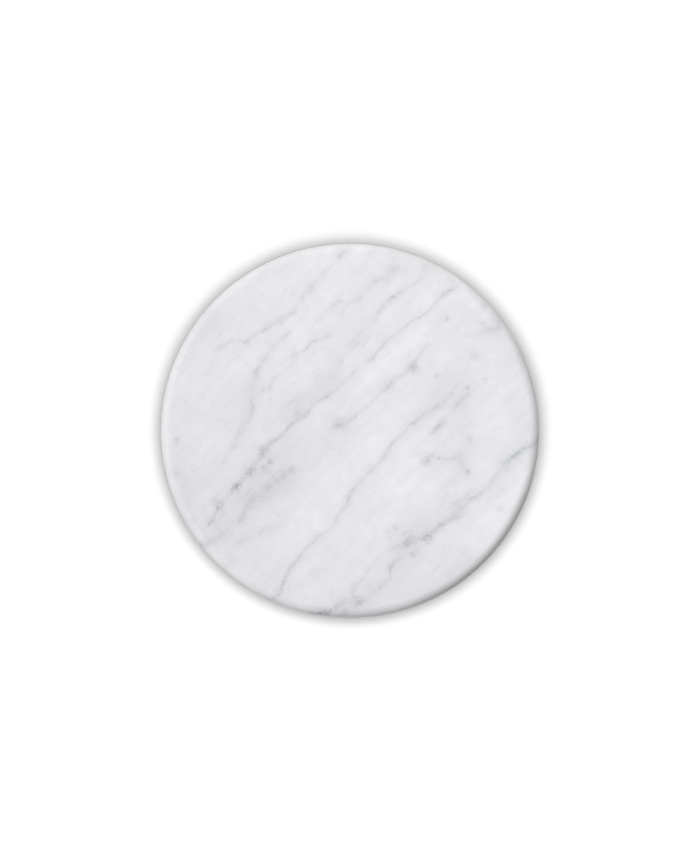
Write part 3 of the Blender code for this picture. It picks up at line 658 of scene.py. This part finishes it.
def mesh_of(name, shape):
    """Turns a bmesh into a mesh, and frees it."""
    mesh = bpy.data.meshes.new(name)
    shape.to_mesh(mesh)
    shape.free()
    return mesh


def arc(centre, radius, start, end, steps):
    """Points of an arc in a turned profile. Angles are in degrees from straight outwards, up."""
    points = []
    for step in range(steps + 1):
        angle = math.radians(start + (end - start) * step / steps)
        points.append((centre[0] + radius * math.cos(angle), centre[1] + radius * math.sin(angle)))
    return points


def lathe(name, profile, segments, closed=False, shaped=None):
    """A turned mesh object. The profile's (radius, height) points run down its outer side. shaped
    takes (radius, height, angle) and gives the radius there, for threads and knurls."""
    shape = bmesh.new()
    rings = []
    for radius, height in profile:
        ring = []
        for index in range(segments if radius > 0 else 1):
            angle = 2 * math.pi * index / segments
            out = shaped(radius, height, angle) if shaped else radius
            ring.append(shape.verts.new((out * math.cos(angle), out * math.sin(angle), height)))
        rings.append(ring)
    pairs = list(zip(rings, rings[1:]))
    if closed:
        pairs.append((rings[-1], rings[0]))
    for upper, lower in pairs:
        for i in range(segments):
            j = (i + 1) % segments
            around = ((upper, i), (lower, i), (lower, j), (upper, j))
            corners = [row[k % len(row)] for row, k in around]
            shape.faces.new(list(dict.fromkeys(corners)))
    bmesh.ops.recalc_face_normals(shape, faces=shape.faces)
    return add_object(name, mesh_of(name, shape))


def rounded(corners, steps=4):
    """A profile with each corner rounded off. corners are (radius, height, rounding), in order."""
    points = []
    for index, (x, y, rounding) in enumerate(corners):
        here = Vector((x, y))
        if not rounding:
            points.append((x, y))
            continue
        before, after = corners[index - 1], corners[(index + 1) % len(corners)]
        back = (Vector(before[:2]) - here).normalized() * rounding
        on = (Vector(after[:2]) - here).normalized() * rounding
        for step in range(steps + 1):
            t = step / steps
            place = here + back * (1 - t) ** 2 + on * t**2
            points.append((place.x, place.y))
    return points


def band(inside, outside, bottom, top, ease):
    """The section of a flat ring with eased corners."""
    corners = ((outside, top), (outside, bottom), (inside, bottom), (inside, top))
    return rounded([(x, z, ease) for x, z in corners])


def hole_cutter(radius, start, end, chamfer=0.0, segments=64):
    """A round cutter from start, inside the piece or past its far face, to end, at the hole's mouth."""
    along = end - start
    length = along.length
    flare = chamfer + CUTTER_OVERRUN if chamfer else 0.0
    made = lathe("cutter", [
        (0.0, length + CUTTER_OVERRUN), (radius + flare, length + CUTTER_OVERRUN),
        (radius, length - chamfer), (radius, 0.0), (0.0, 0.0),
    ], segments)
    made.matrix_world = Matrix.Translation(start) @ along.to_track_quat("Z", "Y").to_matrix().to_4x4()
    return made


def carve(piece, cutters):
    """Takes the cutters out of the piece for good, and removes them."""
    for cutter in cutters:
        difference = piece.modifiers.new("cut", "BOOLEAN")
        difference.operation = "DIFFERENCE"
        difference.solver = "EXACT"
        difference.object = cutter
    bpy.context.view_layer.update()
    graph = bpy.context.evaluated_depsgraph_get()
    mesh = bpy.data.meshes.new_from_object(piece.evaluated_get(graph))
    piece.modifiers.clear()
    piece.data = mesh
    mesh.name = piece.name
    for cutter in cutters:
        bpy.data.objects.remove(cutter)


def copies(pattern, name, nodes, body, surface):
    """Puts a copy of the pattern, which stands on its own origin, under the middle of each node."""
    for number, node in enumerate(nodes, 1):
        low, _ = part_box(node)
        place = on_axis(node, low.z)
        turn = Matrix.Rotation(math.atan2(place.y, place.x), 4, "Z")
        piece = add_object(f"{name}_{number}", pattern.data)
        piece.matrix_world = Matrix.Translation(place) @ turn
        finish_piece(piece, node, body, surface)
    bpy.data.objects.remove(pattern)


def finish_piece(piece, node, body, surface, sharp=SHARP_ANGLE):
    """Gives a piece its material and smooth shading, and puts it in the place of a CAD node."""
    piece.data.materials.clear()
    piece.data.materials.append(surface)
    piece.data.shade_smooth()
    piece.data.set_sharp_from_angle(angle=math.radians(sharp))
    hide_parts(node)
    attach(piece, body)


# ---------------- pieces


def middle_of(node):
    low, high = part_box(node)
    return (low + high) / 2


def on_axis(node, height):
    """The place at that height on the upright line through the node's middle."""
    x, y, _ = middle_of(node)
    return Vector((x, y, height))


def marble_disc(surface):
    """The stone disc: flat faces, a full round rim, and blind holes below for the four inserts."""
    low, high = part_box("marble_top")
    rim = (high.z - low.z) / 2
    flat = high.x - rim
    middle = (low.z + high.z) / 2
    inner = [flat * share for share in DISC_LOOPS]
    profile = [(radius, high.z) for radius in inner]
    for out, up in arc((0.0, 0.0), 1.0, 90, -90, DISC_RIM_STEPS):
        fuller = [math.copysign(abs(share) ** (2 / DISC_RIM_FULLNESS), share) for share in (out, up)]
        profile.append((flat + rim * fuller[0], middle + rim * fuller[1]))
    profile += [(radius, low.z) for radius in reversed(inner)]
    piece = lathe("marble_disc", profile, DISC_SEGMENTS)
    holes = []
    for insert in TOP_INSERTS:
        insert_low, insert_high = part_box(insert)
        radius = (insert_high.x - insert_low.x) / 2 + CLEARANCE
        start = on_axis(insert, insert_high.z + 2 * CLEARANCE)
        holes.append(hole_cutter(radius, start, on_axis(insert, low.z)))
    carve(piece, holes)
    finish_piece(piece, "marble_top", "turntable", surface)
    return piece


def gasket_ring(surface):
    """The moulded rubber bed, with eased edges and a hole for each screw."""
    low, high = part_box("bedding_gasket")
    section = band(RING_HOLE + GASKET_INSET, high.x, low.z, high.z, GASKET_EASE)
    piece = lathe("bedding_gasket_moulded", section, RING_SEGMENTS, closed=True)
    carve(piece, [
        hole_cutter(SCREW_HOLE, on_axis(screw, low.z - CUTTER_OVERRUN), on_axis(screw, high.z))
        for screw in TOP_SCREWS
    ])
    finish_piece(piece, "bedding_gasket", "turntable", surface)


def race(side):
    """The raceway's arc as (radius, height, no rounding), from the top down. side is 1 outside the balls
    and -1 inside."""
    groove = BALL_RADIUS + RACE_CLEARANCE
    reach = math.degrees(math.acos(WALL_OFFSET / groove))
    points = arc((0.0, middle_of("ball_cage").z), groove, reach, -reach, 20)
    return [(RACE_PITCH + side * radius, z, 0.0) for radius, z in points]


def inner_ring(surface):
    """The ring that turns, with eased edges, its groove, and a counterbored hole for each screw."""
    low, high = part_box("inner_ring")
    wall, hole, bevel, ease = RACE_PITCH - WALL_OFFSET, RING_HOLE, RING_BEVEL, RING_EASE
    corners = [
        (wall - bevel, high.z, ease), (wall, high.z - bevel, ease), *race(-1),
        (wall, low.z + bevel / 2, ease), (wall - bevel / 2, low.z, ease),
        (hole + bevel, low.z, ease), (hole, low.z + bevel, ease),
        (hole, high.z - bevel, ease), (hole + bevel, high.z, ease),
    ]
    piece = lathe("inner_ring_turned", rounded(corners), RING_SEGMENTS, closed=True)
    holes = []
    for screw in TOP_SCREWS:
        screw_low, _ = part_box(screw)
        shoulder = on_axis(screw, screw_low.z + SCREW_HEAD_HEIGHT + CLEARANCE)
        radius = SCREW_HEAD + HEAD_CLEARANCE
        holes.append(hole_cutter(radius, shoulder, on_axis(screw, low.z), HOLE_CHAMFER))
        start = on_axis(screw, low.z - CUTTER_OVERRUN)
        holes.append(hole_cutter(SCREW_HOLE, start, on_axis(screw, high.z), HOLE_CHAMFER))
    carve(piece, holes)
    finish_piece(piece, "inner_ring", "turntable", surface)


def outer_ring(surface):
    """The ring that stands still, with eased edges, its groove, the tapped holes and the loading hole."""
    low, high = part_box("outer_ring")
    wall, rim, bevel, ease = RACE_PITCH + WALL_OFFSET, high.x, RING_BEVEL, RING_EASE
    corners = [
        (rim - bevel, high.z, ease), (rim, high.z - bevel, ease),
        (rim, low.z + bevel, ease), (rim - bevel, low.z, ease),
        (wall + bevel, low.z, ease), (wall, low.z + bevel, ease), *reversed(race(1)),
        (wall, high.z - bevel / 2, ease), (wall + bevel / 2, high.z, ease),
    ]
    piece = lathe("outer_ring_turned", rounded(corners), RING_SEGMENTS, closed=True)
    plug_low, plug_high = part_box("ball_loading_plug")
    height = (plug_low.z + plug_high.z) / 2
    radius = (plug_high.z - plug_low.z) / 2 + CLEARANCE
    mouth = Vector((rim, 0.0, height))
    holes = [hole_cutter(radius, Vector((RACE_PITCH, 0.0, height)), mouth, TAPPED_CHAMFER)]
    for screw in FOOT_SCREWS:
        _, screw_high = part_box(screw)
        start = on_axis(screw, screw_high.z + CLEARANCE)
        holes.append(hole_cutter(SCREW_HOLE, start, on_axis(screw, low.z), TAPPED_CHAMFER))
    carve(piece, holes)
    finish_piece(piece, "outer_ring", "base", surface)


def ball_cage(surface):
    """The moulded band between the rings, with eased edges and a round pocket for each ball."""
    low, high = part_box("ball_cage")
    inside, outside = RACE_PITCH - CAGE_HALF_THICKNESS, RACE_PITCH + CAGE_HALF_THICKNESS
    section = band(inside, outside, low.z, high.z, CAGE_EASE)
    piece = lathe("ball_cage_moulded", section, RING_SEGMENTS, closed=True)
    pockets = []
    for ball in BALLS:
        centre = middle_of(ball)
        outwards = Vector((centre.x, centre.y, 0.0)).normalized() * 2 * MM
        start, end = centre - outwards, centre + outwards
        pockets.append(hole_cutter(BALL_RADIUS + CLEARANCE, start, end, segments=32))
    carve(piece, pockets)
    finish_piece(piece, "ball_cage", "ball_set", surface)


def balls(surface):
    """Smooth steel balls. They share one mesh, and each rolls with its own body."""
    shape = bmesh.new()
    bmesh.ops.create_icosphere(shape, subdivisions=5, radius=BALL_RADIUS)
    mesh = mesh_of("bearing_ball", shape)
    for node in BALLS:
        piece = add_object(f"bearing_{node}", mesh)
        piece.location = middle_of(node)
        finish_piece(piece, node, node, surface, sharp=180)


def loading_plug(surface):
    """The set screw that closes the loading hole: a chamfered rod with a hexagon socket, whose inner
    end carries on the raceway."""
    low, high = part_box("ball_loading_plug")
    radius, length = (high.z - low.z) / 2, high.x - (RACE_PITCH + WALL_OFFSET + CLEARANCE)
    profile = [
        (0.0, length), (radius - PLUG_CHAMFER, length), (radius, length - PLUG_CHAMFER),
        (radius, 0.2 * MM), (radius - 0.2 * MM, 0.0), (0.0, 0.0),
    ]
    piece = lathe("loading_plug_screw", profile, SMALL_SEGMENTS)
    socket = lathe("cutter", [
        (0.0, length + MM), (PLUG_SOCKET, length + MM), (PLUG_SOCKET, length - PLUG_SOCKET_DEPTH),
        (0.0, length - PLUG_SOCKET_DEPTH - 0.6 * MM),
    ], 6)
    bevel = lathe("cutter", [
        (0.0, length + MM), (PLUG_SOCKET + 1.0 * MM, length + MM), (0.0, length - PLUG_SOCKET),
    ], 64)
    carve(piece, [socket, bevel])
    lie = Matrix.Rotation(math.radians(90), 4, "Y")
    piece.data.transform(Matrix.Translation((high.x - length, 0.0, (low.z + high.z) / 2)) @ lie)
    groove = BALL_RADIUS + RACE_CLEARANCE
    circle = arc((RACE_PITCH, (low.z + high.z) / 2), groove, 0, 360, 40)[:-1]
    carve(piece, [lathe("cutter", circle, RING_SEGMENTS, closed=True)])
    finish_piece(piece, "ball_loading_plug", "base", surface)


def rubber_feet(surface):
    """Moulded feet: a soft edge all round, a waist groove, grip rings below and a recess for the screw."""
    low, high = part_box(FEET[0])
    height = high.z - low.z
    top, sole = FOOT_TOP, FOOT_SOLE
    recess, shelf = SCREW_HEAD + HEAD_CLEARANCE, FOOT_RECESS_DEPTH
    corners = [
        (SCREW_HOLE, height, 0.2 * MM), (top, height, 0.4 * MM),
        (top - 0.2 * MM, height - 1.7 * MM, 0.2 * MM), (top - 0.65 * MM, height - 2.1 * MM, 0.3 * MM),
        (top - 0.7 * MM, height - 2.7 * MM, 0.3 * MM), (top - 0.35 * MM, height - 3.1 * MM, 0.2 * MM),
        (sole, 0.9 * MM, 0.5 * MM), (sole - 0.8 * MM, 0.0, 0.3 * MM),
    ]
    ring = sole - 1.6 * MM
    while ring > recess + 1.2 * MM:
        corners += [
            (ring + 0.1 * MM, 0.0, 0.1 * MM), (ring - 0.1 * MM, 0.35 * MM, 0.1 * MM),
            (ring - 0.4 * MM, 0.35 * MM, 0.1 * MM), (ring - 0.6 * MM, 0.0, 0.1 * MM),
        ]
        ring -= 1.3 * MM
    corners += [(recess, 0.0, 0.3 * MM), (recess, shelf, 0.2 * MM), (SCREW_HOLE, shelf, 0.2 * MM)]
    pattern = lathe("foot_pattern", rounded(corners, 3), SMALL_SEGMENTS, closed=True)
    copies(pattern, "foot_moulded", FEET, "base", surface)


def pan_screw(length):
    """A pan head screw that points up and stands on its head, with a rolled thread and a cross recess."""
    head, crown = SCREW_HEAD, SCREW_HEAD_HEIGHT
    core = SCREW_SHANK - THREAD_DEPTH

    def threaded(radius, height, angle):
        if not core < radius <= SCREW_SHANK or height < crown + SCREW_BARE:
            return radius
        turns = (height / THREAD_PITCH - angle / (2 * math.pi)) % 1.0
        return radius - THREAD_DEPTH * (1 - abs(2 * turns - 1))

    rows = round((length - 1.8 * MM) / (THREAD_PITCH / THREAD_ROWS))
    first = crown + length - 0.6 * MM
    profile = [
        (0.0, crown + length), (core - 0.4 * MM, crown + length),
        *((SCREW_SHANK, first - row * THREAD_PITCH / THREAD_ROWS) for row in range(rows)),
        (SCREW_SHANK, crown + 2 * SCREW_FILLET), (SCREW_SHANK + SCREW_FILLET, crown),
        (head - SCREW_FILLET, crown), (head, crown - SCREW_FILLET),
        *arc((head - SCREW_CROWN, SCREW_CROWN), SCREW_CROWN, 0, -90, 10), (0.0, 0.0),
    ]
    made = lathe("screw_pattern", profile, SCREW_SEGMENTS, shaped=threaded)
    wings = []
    for turn in (0, 90):
        shape = bmesh.new()
        bmesh.ops.create_cube(shape, size=1.0)
        for corner in shape.verts:
            long, wide, height = RECESS_TOP if corner.co.z > 0 else RECESS_MOUTH
            corner.co = (corner.co.x * long * MM, corner.co.y * wide * MM, height * MM)
        wing = add_object("cutter", mesh_of("cutter", shape))
        wing.rotation_euler.z = math.radians(turn)
        wings.append(wing)
    carve(made, wings)
    return made


def screws(surface):
    sets = ("foot_screw_threaded", FOOT_SCREWS, "base"), ("top_screw_threaded", TOP_SCREWS, "turntable")
    for name, nodes, body in sets:
        low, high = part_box(nodes[0])
        pattern = pan_screw(high.z - low.z - SCREW_HEAD_HEIGHT)
        copies(pattern, name, nodes, body, surface)


def inserts(surface):
    """Brass inserts: a diamond knurl in two bands, a neck between, plain ends, and a chamfered bore."""
    low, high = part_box(TOP_INSERTS[0])
    length, radius, bore = high.z - low.z, INSERT_RADIUS, SCREW_HOLE

    def knurled(out, height, angle):
        if out < radius or not INSERT_COLLAR <= height <= length - INSERT_COLLAR:
            return out
        if abs(height - length / 2) < INSERT_NECK:
            return out - 2 * KNURL_DEPTH
        lean = height / KNURL_LEAN * math.pi
        turned = KNURL_RIDGES * angle
        ridges = abs(math.cos(turned + lean)) * abs(math.cos(turned - lean))
        return out - KNURL_DEPTH * (1 - ridges)

    outer, inner = 0.3 * MM, 0.4 * MM  # the two chamfers
    knurl = length - 2 * outer
    profile = [
        (bore + inner, length), (radius - outer, length),
        *((radius, length - outer - knurl * row / KNURL_ROWS) for row in range(KNURL_ROWS + 1)),
        (radius - outer, 0.0), (bore + inner, 0.0), (bore, inner), (bore, length - inner),
    ]
    pattern = lathe("insert_pattern", profile, SMALL_SEGMENTS, closed=True, shaped=knurled)
    copies(pattern, "insert_knurled", TOP_INSERTS, "turntable", surface)


# ---------------- studio


def towards(azimuth, elevation):
    """The unit vector that points there from the middle. Both are in degrees."""
    a, e = math.radians(azimuth), math.radians(elevation)
    return Vector((math.cos(a) * math.cos(e), math.sin(a) * math.cos(e), math.sin(e)))


def camera():
    data = bpy.data.cameras.new("camera")
    data.lens = CAMERA_LENS
    data.sensor_width = CAMERA_SENSOR
    made = add_object("camera", data)
    target = middle_of("marble_top") - Vector((0.0, CAMERA_AIM_BACK, 0.0))
    back = towards(CAMERA_AZIMUTH, CAMERA_ELEVATION)
    made.location = target + back * CAMERA_DISTANCE
    made.rotation_euler = (-back).to_track_quat("-Z", "Y").to_euler()
    bpy.context.scene.camera = made


def floor():
    """White paper, a little darker round and under the object than clear of it as a painted shadow, and then
    paler to make up for the softbox's falloff."""
    bpy.ops.mesh.primitive_plane_add(size=FLOOR_SIZE, location=(0.0, 0.0, 0.0))
    plane = bpy.context.object
    plane.name = "floor"
    graph, place = new_material("studio_floor")
    scattered = graph.node("ShaderNodeLightPath").outputs["Is Diffuse Ray"]
    radius = graph.vector("LENGTH", place)
    away = graph.math("DIVIDE", radius, SOFTBOX_DISTANCE)
    squares = graph.math("MULTIPLY_ADD", away, away, 1.0)
    clear = FLOOR_ALBEDO * PAINTED_SHADOW_LIFT
    # Painted shadow: the paper's colour is a little darker round and under the object than clear of it
    albedo = graph.remap(radius, PAINTED_SHADOW_LIFT_START, PAINTED_SHADOW_LIFT_END, FLOOR_ALBEDO, clear, smooth=True)
    lifted = graph.math("MULTIPLY", graph.math("POWER", squares, 2.0), albedo)
    share = graph.remap(scattered, 0.0, 1.0, 1.0, FLOOR_BOUNCE)
    tone = graph.math("MULTIPLY", lifted, share)
    plane.data.materials.append(graph.surface(tone, FLOOR_ROUGHNESS, specular=0.0))
    plane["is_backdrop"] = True
    return plane


def light(name, kind, side, receivers):
    """A light from that side on the receivers. It makes no highlight: the surround does that."""
    made = add_object(name, bpy.data.lights.new(name, kind))
    made.rotation_euler = side.to_track_quat("Z", "Y").to_euler()
    made.light_linking.receiver_collection = receivers
    made.visible_glossy = False
    return made


def sun(name, azimuth, elevation, irradiance, spread, receivers):
    """A far soft light. azimuth and elevation say where it comes from, and spread how wide it looks, all
    in degrees."""
    made = light(name, "SUN", towards(azimuth, elevation), receivers)
    made.data.energy = irradiance * math.pi
    made.data.angle = math.radians(spread)


def softbox(receivers):
    """A broad round softbox high over the floor, which gives the object its soft even shadow."""
    side = towards(CAMERA_AZIMUTH, CAMERA_ELEVATION)
    made = light("softbox", "AREA", side, receivers)
    made.location = side * SOFTBOX_DISTANCE
    made.data.shape = "DISK"
    made.data.size = 2 * SOFTBOX_RADIUS
    made.data.energy = math.pi**2 * (SOFTBOX_DISTANCE**2 + SOFTBOX_RADIUS**2) * SOFTBOX_LIGHT
    made.visible_camera = False


def surround():
    """A pale studio round the object: white to the camera, and dimmer as a light. Gloss sees a large
    soft lamp on the key's side."""
    made = bpy.data.worlds.new("studio")
    bpy.context.scene.world = made
    graph = Graph(made)
    direction = graph.node("ShaderNodeTexCoord").outputs["Generated"]
    side = graph.vector("DOT_PRODUCT", direction, towards(KEY_AZIMUTH, 0))
    lit = graph.math("MULTIPLY_ADD", side, AMBIENT * AMBIENT_TILT, AMBIENT)
    nearness = graph.vector("DOT_PRODUCT", direction, towards(KEY_AZIMUTH, KEY_ELEVATION))
    lamp = graph.remap(nearness, *GLOSS_LAMP, smooth=True)
    path = graph.node("ShaderNodeLightPath")
    mirrored = graph.math("MAXIMUM", lit, graph.math("MULTIPLY", path.outputs["Is Glossy Ray"], lamp))
    seen = graph.math("MAXIMUM", mirrored, graph.math("MULTIPLY", path.outputs["Is Camera Ray"], SKY_SEEN))
    graph.feed(graph.nodes["Background"], {"Color": (1, 1, 1, 1), "Strength": seen})


def collection_of(name, objects):
    made = bpy.data.collections.new(name)
    for item in objects:
        made.objects.link(item)
    return made


# ---------------- the scene

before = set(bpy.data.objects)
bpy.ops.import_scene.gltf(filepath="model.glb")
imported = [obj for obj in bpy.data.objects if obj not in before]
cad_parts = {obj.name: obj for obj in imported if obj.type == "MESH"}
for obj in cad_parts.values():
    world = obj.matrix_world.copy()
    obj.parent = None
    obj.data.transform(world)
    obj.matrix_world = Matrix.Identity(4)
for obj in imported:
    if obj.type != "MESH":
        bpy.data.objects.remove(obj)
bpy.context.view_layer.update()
_, stone_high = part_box("marble_top")

bpy.context.scene.view_settings.view_transform = "Standard"
camera()
stage_floor = floor()

stone = marble_disc(marble_material(stone_high.x, stone_high.z))
aluminium, rubber, steel = turned_aluminium(), moulded_rubber(), zinc_plate()
gasket_ring(rubber)
inner_ring(aluminium)
outer_ring(aluminium)
ball_cage(natural_nylon())
balls(bearing_steel())
loading_plug(steel)
rubber_feet(rubber)
screws(steel)
inserts(machined_brass())

softbox(collection_of("only_floor", [stage_floor]))
sun("key", KEY_AZIMUTH, KEY_ELEVATION, KEY_LIGHT, KEY_SPREAD, collection_of("object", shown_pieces()))
only_stone = collection_of("only_stone", [stone])
for azimuth, elevation, irradiance in STONE_FILLS:
    sun(f"stone_fill_{azimuth}", azimuth, elevation, irradiance, FILL_SPREAD, only_stone)
under_stone = collection_of("under_stone", [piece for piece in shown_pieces() if piece != stone])
for azimuth, elevation, irradiance in LOW_FILLS:
    sun(f"low_fill_{azimuth}", azimuth, elevation, irradiance, FILL_SPREAD, under_stone)
surround()
